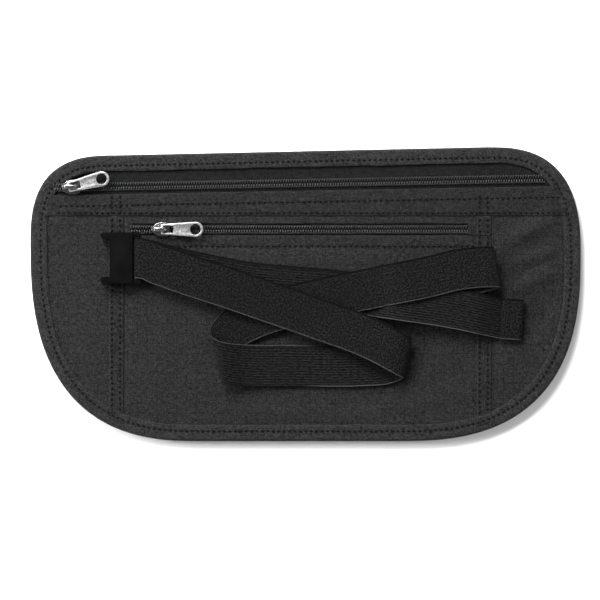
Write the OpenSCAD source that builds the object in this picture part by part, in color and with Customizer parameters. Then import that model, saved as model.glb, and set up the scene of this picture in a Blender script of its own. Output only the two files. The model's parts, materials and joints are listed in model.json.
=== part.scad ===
// Flat waist pouch with two zipped pockets, lying front side up, with its elastic waist strap laid on it.
// +Z is up, +X runs along the pouch, +Y towards its top edge. The origin is under the middle of its box.

/* [Pouch] */
// Overall length of the pouch
pouch_w = 270; // [225:1:324]
// Overall height of the pouch, at its taller end
pouch_h = 144.3; // [130:0.1:173]
// How much lower the top edge is at the left end
top_fall = 4; // [0:0.5:6]
// Visible width of the folded edge tape
binding_w = 8; // [6:0.5:10]
// Thickness of the edge tape
binding_t = 0.6; // [0.4:0.1:0.8]
// Thickness of the pouch cloth
cloth_t = 0.6; // [0.4:0.1:0.8]
// Thickness of a lapped seam or folded band above the cloth
lap_t = 0.7; // [0.4:0.1:0.8]
// Distance of the left side seam's folded edge from the middle
seam_left_x = 88.9; // [78:0.1:95]
// Distance of the right side seam's folded edge from the middle
seam_right_x = 91.1; // [80:0.1:95]
// Width of a lapped side seam
seam_w = 7.2; // [6:0.1:9]
// Width of the folded band under the top zip
band_w = 12.4; // [10:0.1:14]

/* [Zips] */
// Distance of the top zip below the pouch's upper edge, at mid-length
top_zip_drop = 15.7; // [14:0.1:18]
// Distance between the two zips, at mid-length
zip_spacing = 22.8; // [22:0.1:30]
// Width of each zip tape
tape_w = 10; // [8:0.1:11]
// Thickness of a zip tape
tape_t = 0.5; // [0.3:0.1:0.6]
// Width of one row of coil
coil_w = 1.6; // [1.4:0.1:1.9]
// Height of the coil above its tape
coil_h = 1.5; // [1.2:0.1:1.7]
// Slot between the two rows of coil, for the slider's wedge
wedge_slot = 0.9; // [0.8:0.1:1.2]
// Thickness of the slider's wedge
wedge_t = 0.5; // [0.3:0.1:0.6]
// Length of a slider
slider_l = 8.6; // [8.2:0.1:10]
// Width of a slider
slider_w = 6.9; // [6.6:0.1:8]
// Gap between the closed top slider and the edge tape
top_slider_gap = 0.05; // [0.05:0.05:20]
// Distance of the front slider's middle from the middle of the pouch
front_slider_x = 71.05; // [60:0.05:71.4]

/* [Pull tabs] */
// Length of a pull tab
tab_l = 20.6; // [18:0.1:23]
// Width of a pull tab at its round end
tab_w = 7.4; // [6.6:0.1:8]
// Thickness of a pull tab
tab_t = 1.1; // [0.8:0.1:1.2]
// Radius of the round hole in a pull tab
tab_hole_r = 2.65; // [1.8:0.05:2.8]
// Angle of the top pull tab to its zip
top_tab_yaw = 13; // [0:1:16]
// Place of the top tab's bar under its crown, along the zip from the slider's middle
top_bar_x = -0.65; // [-1.25:0.05:0.95]
// Place of the front tab's bar under its crown, along the zip from the slider's middle
front_bar_x = 0.95; // [-1.25:0.05:0.95]

/* [Strap and buckle] */
// Width of the elastic strap
strap_w = 20; // [17:0.5:24]
// Thickness of the elastic strap
strap_t = 1.2; // [1:0.1:1.3]
// Gap between the strap's edges and a buckle's side rails
strap_gap = 0.4; // [0.3:0.1:1]
// Radius of the bar that the strap turns round
bar_r = 1.1; // [0.9:0.1:1.2]
// Gap between the bar and the strap
bar_gap = 0.2; // [0.15:0.05:0.3]
// Width of a buckle's side rails
rail_w = 2.1; // [1.5:0.1:3]
// Thickness of a buckle half
buckle_t = 5; // [4.6:0.1:5.2]
// Length of the socket half's shell
socket_l = 11.2; // [9:0.1:14]
// Wall above and below the socket's mouth
socket_wall = 1; // [0.8:0.1:1.2]
// Length of the plug half's prongs
prong_l = 18.5; // [15:0.1:20]

/* [Belt loops] */
// Width of a belt loop along the strap
loop_w = 30; // [20:1:40]
// Height of a belt loop
loop_h = 40; // [36:1:48]
// Thickness of a belt loop
loop_t = 0.8; // [0.6:0.1:1]
// Space between a belt loop and the back panel
loop_gap = 1.5; // [1.4:0.1:2]
// Height of each sewn end of a belt loop
loop_end_h = 6; // [4:0.5:7]
// Distance of the belt loops from the middle
loop_x = 80; // [60:1:85]

/* [Hidden] */
$fn = 48;

cloth = [0.17, 0.17, 0.18];
tape_black = [0.09, 0.09, 0.1];
nickel = [0.75, 0.76, 0.78];
elastic = [0.12, 0.12, 0.13];
plastic = [0.1, 0.1, 0.11];

// Heights, from the resting surface upwards
air = 0.1;
back_z = loop_t + loop_gap;
lining_z = back_z + cloth_t + air;
slider_z = lining_z + cloth_t + 0.2;
plate_t = 0.7;
tape_z = slider_z + plate_t + 0.2;
front_z = tape_z + tape_t + air;
front_top = front_z + cloth_t;
lap_top = front_top + lap_t;
coil_z = tape_z + tape_t;
cap_z = coil_z + coil_h + 0.2;
tab_z = cap_z + plate_t + 0.55;
crown_h = 2.9;

// Outline: four rounded corners, each a quarter of a superellipse
half_w = pouch_w / 2;
half_h = pouch_h / 2;
low_left_reach = 83;
low_right_reach = 89;
up_left_reach = 42;
up_right_reach = 45;
widest_left = 24.6;
widest_right = 19.6;
corner_steps = 18;

function unit(v) = v / norm(v);

// Quarter of a superellipse about [x, y], with reaches sx and sy, moved inwards by the inset along its normal
function corner(x, y, sx, sy, n, rising, inset) = [
    for (i = [0 : corner_steps])
        let (a = rising ? 90 * i / corner_steps : 90 - 90 * i / corner_steps)
        let (c = max(cos(a), 0))
        let (s = max(sin(a), 0))
        let (out = unit([pow(c, 2 - 2 / n) / sx, pow(s, 2 - 2 / n) / sy]))
        [x + sx * pow(c, 2 / n), y + sy * pow(s, 2 / n)] - inset * out
];
function outline(inset) = concat(
    corner(half_w - up_right_reach, widest_right, up_right_reach,
        half_h - widest_right, 2.65, true, inset),
    corner(up_left_reach - half_w, widest_left, -up_left_reach,
        half_h - top_fall - widest_left, 2.75, false, inset),
    corner(low_left_reach - half_w, widest_left, -low_left_reach,
        -half_h - widest_left, 2.58, true, inset),
    corner(half_w - low_right_reach, widest_right, low_right_reach,
        -half_h - widest_right, 2.62, false, inset)
);

cloth_inset = binding_t + 1.4;
lap_inset = binding_w + 0.15;

module flat(inset, z, t) {
    translate([0, 0, z]) linear_extrude(t) polygon(outline(inset));
}

// A block with its low corner at [x, y, z]
module block(x, y, z, w, d, h) {
    translate([x, y, z]) cube([w, d, h]);
}

module within(inset, z, t, x0, x1, y0, y1) {
    intersection() {
        flat(inset, z, t);
        block(x0, y0, z - 1, x1 - x0, y1 - y0, t + 2);
    }
}

// Side seams: the centre panel lies between them, and the front zip opens in it, short of each by an ear
centre_left = -seam_left_x + air;
centre_right = seam_right_x - seam_w - air;
ear = 4;

// Zip lines
zip_tilt = atan2(top_fall, pouch_w - up_left_reach - up_right_reach) * 0.83;
top_zip_y = half_h - top_fall / 2 - top_zip_drop;
front_zip_y = top_zip_y - zip_spacing;
slit = 2.75;
band_off = slider_w / 2 + 0.35;
band_top_y = top_zip_y - band_off;
band_low_y = band_top_y - band_w;

// The edge tape's inner edge as seen along the top zip, and where the zip starts at each distance off its line
function along_zip(p) = [
    p[0] * cos(zip_tilt) + (p[1] - top_zip_y) * sin(zip_tilt),
    (p[1] - top_zip_y) * cos(zip_tilt) - p[0] * sin(zip_tilt)
];
tape_edge = [for (p = outline(binding_w)) along_zip(p)];
function zip_start(y) = min([
    for (i = [0 : len(tape_edge) - 1])
        let (a = tape_edge[i])
        let (b = tape_edge[(i + 1) % len(tape_edge)])
        if ((a[1] - y) * (b[1] - y) <= 0 && a[1] != b[1])
            a[0] + (b[0] - a[0]) * (y - a[1]) / (b[1] - a[1])
]);

module at_top_zip(x = 0) {
    translate([0, top_zip_y, 0]) rotate([0, 0, zip_tilt]) translate([x, 0, 0]) children();
}

module at_front_zip(x = 0) {
    translate([x, front_zip_y, 0]) children();
}

// Pouch cloth

module back_panel() {
    color(cloth) flat(cloth_inset, back_z, cloth_t);
}

module pocket_lining() {
    color(cloth) within(cloth_inset, lining_z, cloth_t, -seam_left_x - seam_w, seam_right_x, -half_h, band_low_y + 4);
}

module front_panel_left() {
    color(cloth) {
        difference() {
            within(cloth_inset, front_z, cloth_t, -half_w, -seam_left_x - air, -half_h, band_top_y + 9);
            at_top_zip() block(-half_w, -band_off - 1, front_z - 1, pouch_w, half_h, 4);
        }
        within(lap_inset, front_top, lap_t, -seam_left_x - seam_w, -seam_left_x - air, -half_h, band_low_y - air);
    }
}

module front_panel_centre() {
    color(cloth) {
        difference() {
            within(cloth_inset, front_z, cloth_t, centre_left, centre_right, -half_h, front_zip_y + slit);
            block(centre_left + ear, front_zip_y - slit, front_z - 1,
                centre_right - centre_left - 2 * ear, half_h, 4);
        }
        within(lap_inset, front_top, lap_t, centre_right - 1, seam_right_x, -half_h, band_low_y - air);
    }
}

module front_panel_right() {
    color(cloth) difference() {
        within(cloth_inset, front_z, cloth_t, centre_right + air, half_w, -half_h, band_top_y + 9);
        at_top_zip() block(-half_w, -band_off - 1, front_z - 1, pouch_w, half_h, 4);
    }
}

module front_strip() {
    color(cloth) difference() {
        within(cloth_inset, front_z, cloth_t, centre_left, centre_right, front_zip_y + slit + air, band_top_y + 9);
        at_top_zip() block(-half_w, -band_off - 1, front_z - 1, pouch_w, half_h, 4);
    }
}

module top_band() {
    color(cloth) intersection() {
        flat(lap_inset, front_top, lap_t);
        difference() {
            block(-half_w, band_low_y, front_top - 1, pouch_w, half_h, lap_t + 2);
            at_top_zip() block(-pouch_w, -band_off, front_top - 2, 2 * pouch_w, half_h, 6);
        }
    }
}

module edge_binding() {
    low = back_z - air - binding_t;
    high = front_top + air;
    color(tape_black) {
        difference() {
            flat(0, low, high + binding_t - low);
            flat(cloth_inset - air, low + binding_t, high - low - binding_t);
            flat(binding_w, low - 1, high - low + 4);
        }
    }
}

module belt_loop() {
    color(cloth) {
        block(-loop_w / 2, -loop_h / 2, 0, loop_w, loop_h, loop_t);
        for (y = [-loop_h / 2, loop_h / 2 - loop_end_h])
            block(-loop_w / 2, y, loop_t / 2, loop_w, loop_end_h, back_z - loop_t / 2);
    }
}

loop_y = 4;

module belt_loop_left() {
    translate([-loop_x, loop_y, 0]) belt_loop();
}

module belt_loop_right() {
    translate([loop_x, loop_y, 0]) belt_loop();
}

// Zips

module tape(side, x0, x1) {
    y = side > 0 ? wedge_slot / 2 : -wedge_slot / 2 - tape_w;
    block(x0, y, tape_z, x1 - x0, tape_w, tape_t);
}

module coil_row(side, x0, x1) {
    r = 0.5;
    translate([x0, side * (wedge_slot + coil_w) / 2, coil_z])
        rotate([90, 0, 90])
            linear_extrude(x1 - x0) {
                translate([-coil_w / 2, 0]) square([coil_w, coil_h - r]);
                translate([-coil_w / 2 + r, 0]) square([coil_w - 2 * r, coil_h]);
                for (s = [-1, 1])
                    translate([s * (coil_w / 2 - r), coil_h - r]) circle(r);
            }
}

module top_tape(side) {
    color(tape_black) intersection() {
        at_top_zip() tape(side, -half_w, half_w);
        flat(cloth_inset, tape_z, tape_t);
    }
}

module top_coil(side) {
    color(tape_black) intersection() {
        at_top_zip() coil_row(side, -half_w, half_w);
        flat(lap_inset, coil_z - 1, coil_h + 2);
    }
}

module top_zip_tape_upper() {
    top_tape(1);
}

module top_zip_tape_lower() {
    top_tape(-1);
}

module top_coil_upper() {
    top_coil(1);
}

module top_coil_lower() {
    top_coil(-1);
}

module front_tape(side) {
    color(tape_black) at_front_zip() tape(side, centre_left + air, centre_right - air);
}

module front_coil(side) {
    color(tape_black) at_front_zip() coil_row(side, centre_left + ear + air, centre_right - ear - air);
}

module front_zip_tape_upper() {
    front_tape(1);
}

module front_zip_tape_lower() {
    front_tape(-1);
}

module front_coil_upper() {
    front_coil(1);
}

module front_coil_lower() {
    front_coil(-1);
}

// Sliders: a cap and a sole joined by a wedge that runs in the slot between the coils

slider_nose = [[0, 0.7], [0.8, 1.6], [2.2, slider_w * 0.42], [4.2, slider_w / 2]];
top_slider_x = max([for (p = slider_nose) zip_start(p[1]) - p[0]]) + slider_l / 2 + top_slider_gap;

module slider_plan() {
    nose = slider_l / 2;
    half = slider_w / 2;
    side = concat(
        [for (p = slider_nose) [p[0] - nose, p[1]]],
        [[nose - 1, half], [nose, half - 1]]
    );
    polygon(concat(side, [for (i = [len(side) - 1 : -1 : 0]) [side[i][0], -side[i][1]]]));
}

module slider_body() {
    nose = slider_l / 2;
    half = slider_w / 2;
    flange_w = 0.65;
    color(nickel) {
        translate([0, 0, slider_z]) linear_extrude(plate_t) slider_plan();
        translate([0, 0, cap_z]) linear_extrude(plate_t) slider_plan();
        for (y = [-half, half - flange_w])
            block(-nose + 4.2, y, front_top + 0.3, slider_l - 5.2, flange_w, cap_z - front_top - 0.2);
        block(-nose + 0.4, -wedge_t / 2, slider_z + 0.1, 2.6, wedge_t, cap_z - slider_z);
    }
}

crown_w = 1.8;
crown_back = -3;
crown_front = 2.7;

module slider_crown() {
    foot = 0.9;
    top = 0.6;
    z = cap_z + plate_t;
    color(nickel) {
        block(crown_back, -crown_w / 2, z, foot, crown_w, crown_h);
        block(crown_front - foot, -crown_w / 2, z, foot, crown_w, crown_h);
        block(crown_back, -crown_w / 2, z + crown_h - top, crown_front - crown_back, crown_w, top);
    }
}

// Pull tab: its end bar passes under the crown, and its slot clears the crown as it turns
module pull_tab(bar_x, yaw) {
    end_r = tab_w / 2;
    neck_w = 4.8;
    bar_w = 1.1;
    slot_l = 5;
    slot_w = 3.6;
    far = bar_x - bar_w / 2 + tab_l;
    color(nickel)
        translate([bar_x, 0, tab_z]) rotate([0, 0, yaw]) translate([-bar_x, 0, 0])
            difference() {
                linear_extrude(tab_t) {
                    polygon([
                        [bar_x - bar_w / 2, -neck_w / 2], [far - end_r, -end_r],
                        [far - end_r, end_r], [bar_x - bar_w / 2, neck_w / 2]
                    ]);
                    translate([far - end_r, 0]) circle(end_r);
                }
                block(bar_x + bar_w / 2, -slot_w / 2, -1, slot_l, slot_w, tab_t + 2);
                translate([far - end_r - 0.1, 0, -1]) cylinder(r = tab_hole_r, h = tab_t + 2);
            }
}

module top_slider_body() {
    at_top_zip(top_slider_x) slider_body();
}

module top_slider_crown() {
    at_top_zip(top_slider_x) slider_crown();
}

module top_pull_tab() {
    at_top_zip(top_slider_x) pull_tab(top_bar_x, top_tab_yaw);
}

module front_slider_body() {
    at_front_zip(-front_slider_x) slider_body();
}

module front_slider_crown() {
    at_front_zip(-front_slider_x) slider_crown();
}

module front_pull_tab() {
    at_front_zip(-front_slider_x) pull_tab(front_bar_x, 0);
}

// Buckle halves: each has its strap bar at the origin and points to -X

rail_y = strap_w / 2 + strap_gap;
buckle_w = 2 * (rail_y + rail_w);
strap_turn_r = bar_r + bar_gap + strap_t / 2;
frame_back = bar_r + bar_gap + strap_t + 0.3;

module bar_frame(t) {
    rotate([90, 0, 0]) cylinder(r = bar_r, h = 2 * rail_y + rail_w, center = true);
    for (y = [-rail_y - rail_w, rail_y])
        block(-frame_back - 0.1, y, -t / 2, frame_back + bar_r + 0.1, rail_w, t);
}

module socket_half() {
    horn_l = 4.4;
    horn_w = 3.3;
    color(plastic) {
        bar_frame(3.2);
        difference() {
            block(-frame_back - socket_l, -buckle_w / 2, -buckle_t / 2, socket_l, buckle_w, buckle_t);
            block(-frame_back - socket_l - 1, -rail_y + 0.4, -buckle_t / 2 + socket_wall,
                socket_l - 1, 2 * rail_y - 0.8, buckle_t - 2 * socket_wall);
        }
        for (s = [-1, 1])
            translate([-frame_back - socket_l, s * (buckle_w - horn_w) / 2, 0]) {
                block(-horn_l + horn_w / 2, -horn_w / 2, -buckle_t / 2, horn_l, horn_w, buckle_t);
                translate([-horn_l + horn_w / 2, 0, -buckle_t / 2]) cylinder(d = horn_w, h = buckle_t);
            }
    }
}

module plug_half() {
    plate_l = 4.6;
    base = -frame_back - plate_l;
    thick = buckle_t - 2 * socket_wall - 0.2;
    color(plastic) {
        bar_frame(3.2);
        block(base, -buckle_w / 2, -buckle_t / 2 + 0.1, plate_l, buckle_w, buckle_t - 0.2);
        block(base - prong_l * 0.7, -1.6, -thick / 2, prong_l * 0.7 + 0.5, 3.2, thick);
        for (s = [-1, 1])
            translate([base, 0, -thick / 2])
                linear_extrude(thick)
                    polygon([
                        [0.5, s * 5.6], [-prong_l + 4, s * 6.6], [-prong_l, s * 7.2],
                        [-prong_l + 1, s * 8.6], [-prong_l + 7, s * 9.8], [-prong_l + 7.4, s * 8.4], [0.5, s * 8]
                    ]);
    }
}

socket_at = [-81.7, 17.6, lap_top + 0.4 + buckle_t / 2];
plug_at = [76, 8.6, front_top + 0.3 + buckle_t / 2];
plug_yaw = 12;

module buckle_socket() {
    translate(socket_at) socket_half();
}

module buckle_plug() {
    translate(plug_at) rotate([0, 0, plug_yaw]) plug_half();
}

// Elastic strap: rings of [x, y, z, turn], where turn swings the strap's cross line away from +Y

function turn_round(c, yaw, r, from, to) = [
    for (i = [0 : 6])
        let (a = from + (to - from) * i / 6)
        [c[0] + r * cos(a) * cos(yaw), c[1] + r * cos(a) * sin(yaw), c[2] + r * sin(a), yaw]
];

rest_z = lap_top + 0.9;
over_z = rest_z + strap_t + 0.4;
plug_top = plug_at[2] + buckle_t / 2 + strap_t / 2 + 0.2;

strap_route = concat(
    [[96, -12, rest_z + 1.4, -4], [101, -12.3, rest_z + 1.4, -4]],
    turn_round([105.2, -12.6, rest_z + 0.7], -4, 0.7, 90, -90),
    [
        [101, -12.3, rest_z, -4], [96, -11.8, rest_z, -6], [90, -10.6, rest_z + 2, -9],
        [84, -9.3, plug_top - 0.2, -10], [80, -8.4, plug_top, -10], [60, -4.8, plug_top, -8],
        [47, -3, plug_top, -7], [42, -2.2, plug_top - 1, -6], [36, -1.4, rest_z + 0.6, -5],
        [31, -0.4, rest_z, -4], [12, 2.1, rest_z, -4], [-3, 3.4, rest_z, -6], [-27, 5.7, rest_z, -9],
        [-52, 10.4, rest_z, -13], [-68, 14, rest_z, -12], [-76, 16.4, rest_z, -6],
        [-80, 17.4, socket_at[2] - strap_turn_r, -1]
    ],
    turn_round(socket_at, 0, strap_turn_r, 270, 90),
    [
        [-80, 17.4, socket_at[2] + strap_turn_r, -1], [-76, 16, rest_z + 4, -8],
        [-67, 12.8, rest_z + 4.1, -16], [-57, 9.3, rest_z + 4.1, -19],
        [-43, 4.8, rest_z + 4, -19], [-30, 0.4, rest_z + 3.7, -19], [-8, -7.2, rest_z + 3.5, -19],
        [12, -14.2, rest_z + 3.7, -19], [24, -18.4, rest_z + 4.4, -20],
        [35, -23.2, rest_z + 5.5, -20], [42, -27, rest_z + 6.4, -17],
        [46.5, -29.6, rest_z + 6.1, -14], [49.3, -31.2, rest_z + 4.3, -13],
        [49.5, -31.8, rest_z + 2.1, -13], [46.5, -33, rest_z + 0.4, -11],
        [41, -34.2, rest_z - 0.1, -6], [30, -35, rest_z - 0.2, 0], [-12, -35, rest_z - 0.2, 0],
        [-23, -35, rest_z + 0.1, 0], [-31, -34.6, rest_z + 1.5, 2], [-37, -33.9, rest_z + 3.9, 5],
        [-41.2, -32.6, rest_z + 4.8, 8], [-43.9, -30.2, rest_z + 3.4, 12],
        [-43.8, -26.6, rest_z + 1.2, 17], [-41, -22.6, rest_z + 0.1, 22],
        [-36, -17.4, rest_z - 0.1, 25], [-28, -13, rest_z + 0.2, 24],
        [-20, -9.8, over_z - 0.3, 21], [-12, -7.2, over_z, 17],
        [7, -2.4, over_z, 13], [22, 0.8, over_z, 11], [32, 2.8, over_z + 0.4, 11],
        [38, 4.1, over_z + 1.6, 11], [44, 5.2, plug_top + 1.4, 11], [60, 8.4, plug_top + 1.5, 10],
        [75, 12, plug_top + 1.5, 7], [85, 13.1, plug_top + 1.4, 4], [91, 13.3, plug_top + 1.1, 4],
        [93.2, 13.1, plug_top + 0.1, 8], [90.6, 12.2, plug_top - 1, 12],
        [84, 10.4, plug_top - 0.9, plug_yaw]
    ],
    turn_round(plug_at, plug_yaw, strap_turn_r, 90, 270),
    [[80, 9.4, plug_at[2] - strap_turn_r, plug_yaw]]
);

function spot(i) = [strap_route[i][0], strap_route[i][1], strap_route[i][2]];
function heading(i) = unit(spot(min(i + 1, len(strap_route) - 1)) - spot(max(i - 1, 0)));
function ring(i) =
    let (a = strap_route[i][3])
    let (across = [-sin(a), cos(a), 0] * strap_w / 2)
    let (up = unit(cross(heading(i), across)) * strap_t / 2)
    let (p = spot(i))
    [p + across + up, p - across + up, p - across - up, p + across - up];

module elastic_strap() {
    last = len(strap_route) - 1;
    points = [for (i = [0 : last]) each ring(i)];
    sides = [
        for (i = [0 : last - 1])
            for (k = [0 : 3])
                let (a = 4 * i + k)
                let (b = 4 * i + (k + 1) % 4)
                each [[a, b, b + 4], [a, b + 4, a + 4]]
    ];
    caps = [[2, 1, 0], [3, 2, 0], [4 * last, 4 * last + 1, 4 * last + 2], [4 * last, 4 * last + 2, 4 * last + 3]];
    color(elastic) polyhedron(points, concat(sides, caps));
}

back_panel();
pocket_lining();
front_panel_left();
front_panel_centre();
front_panel_right();
front_strip();
top_band();
edge_binding();
belt_loop_left();
belt_loop_right();
top_zip_tape_upper();
top_zip_tape_lower();
top_coil_upper();
top_coil_lower();
front_zip_tape_upper();
front_zip_tape_lower();
front_coil_upper();
front_coil_lower();
top_slider_body();
top_slider_crown();
top_pull_tab();
front_slider_body();
front_slider_crown();
front_pull_tab();
elastic_strap();
buckle_socket();
buckle_plug();
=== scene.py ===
"""Looks of a flat zipped waist pouch with its elastic strap and buckle folded loosely on top.

Lengths in this script are in millimetres and turned into metres only when a mesh is made.
"""
import json
import math

import bpy
import numpy as np
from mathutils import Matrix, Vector


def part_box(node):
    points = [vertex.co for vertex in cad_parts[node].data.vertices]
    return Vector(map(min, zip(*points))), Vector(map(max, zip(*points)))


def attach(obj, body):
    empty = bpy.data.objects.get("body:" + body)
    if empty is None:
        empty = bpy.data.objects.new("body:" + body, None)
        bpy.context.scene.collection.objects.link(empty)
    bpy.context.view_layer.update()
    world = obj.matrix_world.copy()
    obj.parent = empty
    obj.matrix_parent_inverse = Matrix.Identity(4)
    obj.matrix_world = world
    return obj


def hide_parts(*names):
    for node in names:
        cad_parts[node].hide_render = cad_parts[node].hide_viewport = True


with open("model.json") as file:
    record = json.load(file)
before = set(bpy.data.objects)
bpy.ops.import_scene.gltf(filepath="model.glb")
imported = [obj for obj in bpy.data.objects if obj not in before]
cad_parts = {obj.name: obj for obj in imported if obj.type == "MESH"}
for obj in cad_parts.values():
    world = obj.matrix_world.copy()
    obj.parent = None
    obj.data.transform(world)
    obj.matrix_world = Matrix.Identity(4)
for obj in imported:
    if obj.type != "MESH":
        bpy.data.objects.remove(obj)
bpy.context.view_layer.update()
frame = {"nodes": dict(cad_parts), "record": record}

MM = 0.001
JOINTS = {j["name"]: j for j in frame["record"]["behaviour"]["joints"]}


def box_mm(node):
    """Lowest and highest corner of a CAD node, in millimetres."""
    low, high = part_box(node)
    return np.array(low) / MM, np.array(high) / MM


# Driving sizes, read off the frame where it has them
RIM_LOW, RIM_HIGH = box_mm("edge_binding")
HALF_W = RIM_HIGH[0]
HALF_H = RIM_HIGH[1]
TOP_FALL = 4.0
BINDING_W = 8.0
CLOTH = 0.55
BACK_Z = box_mm("back_panel")[0][2]
FRONT_Z = box_mm("front_strip")[1][2]
TAPE_Z = box_mm("front_zip_tape_upper")[1][2]
LAP = box_mm("top_band")[1][2] - FRONT_Z
LAP_SHARE = 0.85  # a lapped seam's height as a share of the band's
SEAM_LEFT = box_mm("front_panel_left")[1][0]
SEAM_RIGHT = box_mm("front_panel_centre")[1][0]
SEAM_W = 7.2
COIL_LOW, COIL_HIGH = box_mm("top_coil_lower")[0], box_mm("top_coil_upper")[1]
ZIP_MID = (COIL_LOW + COIL_HIGH) / 2
ZIP_AXIS = np.array(JOINTS["top_slider_slide"]["axis"])
ZIP_SLOPE = ZIP_AXIS[1] / ZIP_AXIS[0]
FRONT_ZIP_Y = (box_mm("front_coil_lower")[0][1] + box_mm("front_coil_upper")[1][1]) / 2
FRONT_ZIP_X0, FRONT_ZIP_X1 = box_mm("front_coil_upper")[0][0], box_mm("front_coil_upper")[1][0]
BAND_LOW_Y = box_mm("top_band")[0][1]
BAND_OFF = 3.8
SLIT = 2.7
STRAP_W = 20.0
STRAP_T = 1.2
SOCKET_AT = np.array(JOINTS["socket_swing"]["pos_m"]) / MM


def top_zip_y(x):
    """Straight line of the top zip: its middle plus slope times distance along the pouch."""
    return ZIP_MID[1] + ZIP_SLOPE * (np.asarray(x, float) - ZIP_MID[0])


# ---------------------------------------------------------------- mesh making

UP = np.array([0, 0, 1.0])


def joined(*columns):
    """Columns spread to one shape and joined as the last axis: joined(x, y, z) gives points."""
    return np.stack(np.broadcast_arrays(*columns), axis=-1)


def make_object(name, points, faces, uv=None):
    """A smooth mesh object from points in millimetres, its faces, and one UV for each point."""
    mesh = bpy.data.meshes.new(name)
    points = np.asarray(points, float).reshape(-1, 3)
    mesh.from_pydata((points * MM).tolist(), [], [list(f) for f in faces])
    mesh.update()
    if uv is not None:
        index = np.empty(len(mesh.loops), dtype=np.int32)
        mesh.loops.foreach_get("vertex_index", index)
        layer = mesh.uv_layers.new(name="UVMap")
        layer.data.foreach_set("uv", np.asarray(uv, np.float32).reshape(-1, 2)[index].ravel())
    mesh.polygons.foreach_set("use_smooth", np.ones(len(mesh.polygons), bool))
    piece = bpy.data.objects.new(name, mesh)
    bpy.context.collection.objects.link(piece)
    return piece


def grid_faces(rows, cols, close_rows=False, close_cols=False):
    """Quads of a rows by cols grid of points, joined round in either direction when asked."""
    i = np.arange(rows if close_rows else rows - 1)[:, None]
    j = np.arange(cols if close_cols else cols - 1)[None, :]
    i2, j2 = (i + 1) % rows, (j + 1) % cols
    return joined(i * cols + j, i2 * cols + j, i2 * cols + j2, i * cols + j2).reshape(-1, 4)


class Parts:
    """Collects several grids into one mesh."""

    def __init__(self):
        self.points, self.faces, self.uv, self.count = [], [], [], 0

    def add(self, points, faces, uv=None):
        points = points.reshape(-1, 3)
        self.points.append(points)
        self.faces += [[int(k) + self.count for k in f] for f in faces]
        self.uv.append(points[:, :2] * MM if uv is None else uv.reshape(-1, 2))
        self.count += len(points)

    def add_sheet(self, top, thickness, uv=None):
        """A closed sheet: the top grid, the same grid lowered by the thickness, and a rim round both."""
        rows, cols = top.shape[:2]
        upper = grid_faces(rows, cols)
        lower = upper[:, ::-1] + rows * cols
        ring = np.concatenate([
            np.arange(cols), np.arange(1, rows) * cols + cols - 1,
            (rows - 1) * cols + np.arange(cols - 2, -1, -1), np.arange(rows - 2, 0, -1) * cols,
        ])
        after = np.roll(ring, -1)
        rim = joined(ring, after, after + rows * cols, ring + rows * cols)
        uv = top[..., :2] * MM if uv is None else uv
        faces = np.concatenate([upper, lower, rim])
        self.add(np.stack([top, top - UP * thickness]), faces, np.stack([uv, uv]))

    def make(self, name):
        return make_object(name, np.concatenate(self.points), self.faces, np.concatenate(self.uv))


def sheet_object(name, top, thickness=CLOTH, uv=None):
    """One closed sheet as an object of its own."""
    parts = Parts()
    parts.add_sheet(top, thickness, uv)
    return parts.make(name)


def swept(centres, across, up, profile):
    """A profile carried along a path, centre + across * profile x + up * profile y, both ends capped."""
    px, py = profile[None, :, 0, None], profile[None, :, 1, None]
    points = centres[:, None, :] + across[:, None, :] * px + up[:, None, :] * py
    faces = grid_faces(len(centres), len(profile), close_cols=True).tolist()
    last = (len(centres) - 1) * len(profile)
    faces.append(list(range(len(profile))))
    faces.append([last + k for k in range(len(profile) - 1, -1, -1)])
    return points, faces


def unit(v):
    """Each vector divided by its own length."""
    return v / np.maximum(np.linalg.norm(v, axis=-1, keepdims=True), 1e-9)


def walked(points):
    """Distance walked along a polyline to each of its points."""
    return np.concatenate([[0], np.cumsum(np.linalg.norm(np.diff(points, axis=0), axis=1))])


def sampled(at, walk, points):
    """Every column of the points, interpolated over the distance walked."""
    return joined(*[np.interp(at, walk, column) for column in points.T])


def even_path(points, spacing, closed=False):
    """The polyline walked at even spacing."""
    if closed:
        points = np.vstack([points, points[:1]])
    walk = walked(points)
    count = max(int(round(walk[-1] / spacing)), 2)
    at = np.linspace(0, walk[-1], count + 1)
    return sampled(at[:-1] if closed else at, walk, points)


def smooth_step(t):
    """3t^2 - 2t^3 between 0 and 1."""
    t = np.clip(t, 0, 1)
    return t * t * (3 - 2 * t)


# ---------------------------------------------------------------- the pouch's outline and heights

# Each corner is a quarter of a superellipse: middle x and y, reach x and y, power, walked upwards
CORNERS = [
    (HALF_W - 45, 19.6, 45, HALF_H - 19.6, 2.65, True),
    (42 - HALF_W, 24.6, -42, HALF_H - TOP_FALL - 24.6, 2.75, False),
    (83 - HALF_W, 24.6, -83, -HALF_H - 24.6, 2.58, True),
    (HALF_W - 89, 19.6, 89, -HALF_H - 19.6, 2.62, False),
]


def outline(inset, steps=90):
    """Four superellipse corners |x/a|^n + |y/b|^n = 1, each moved inwards by the inset along its normal."""
    loops = []
    for x, y, a, b, n, rising in CORNERS:
        angle = np.linspace(0, math.pi / 2, steps)
        angle = angle if rising else angle[::-1]
        c, s = np.maximum(np.cos(angle), 0), np.maximum(np.sin(angle), 0)
        out = unit(joined(c ** (2 - 2 / n) / a, s ** (2 - 2 / n) / b))
        curve = joined(x + a * c ** (2 / n), y + b * s ** (2 / n))
        loops.append(curve - inset * out)
    return np.concatenate(loops)


def rim_y(x, inset, upper):
    """Height on the page of the outline's upper or lower side at each x."""
    loop = outline(inset)
    half = len(loop) // 2
    side = loop[:half] if upper else loop[half:]
    order = np.argsort(side[:, 0])
    return np.interp(x, side[order, 0], side[order, 1])


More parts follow.
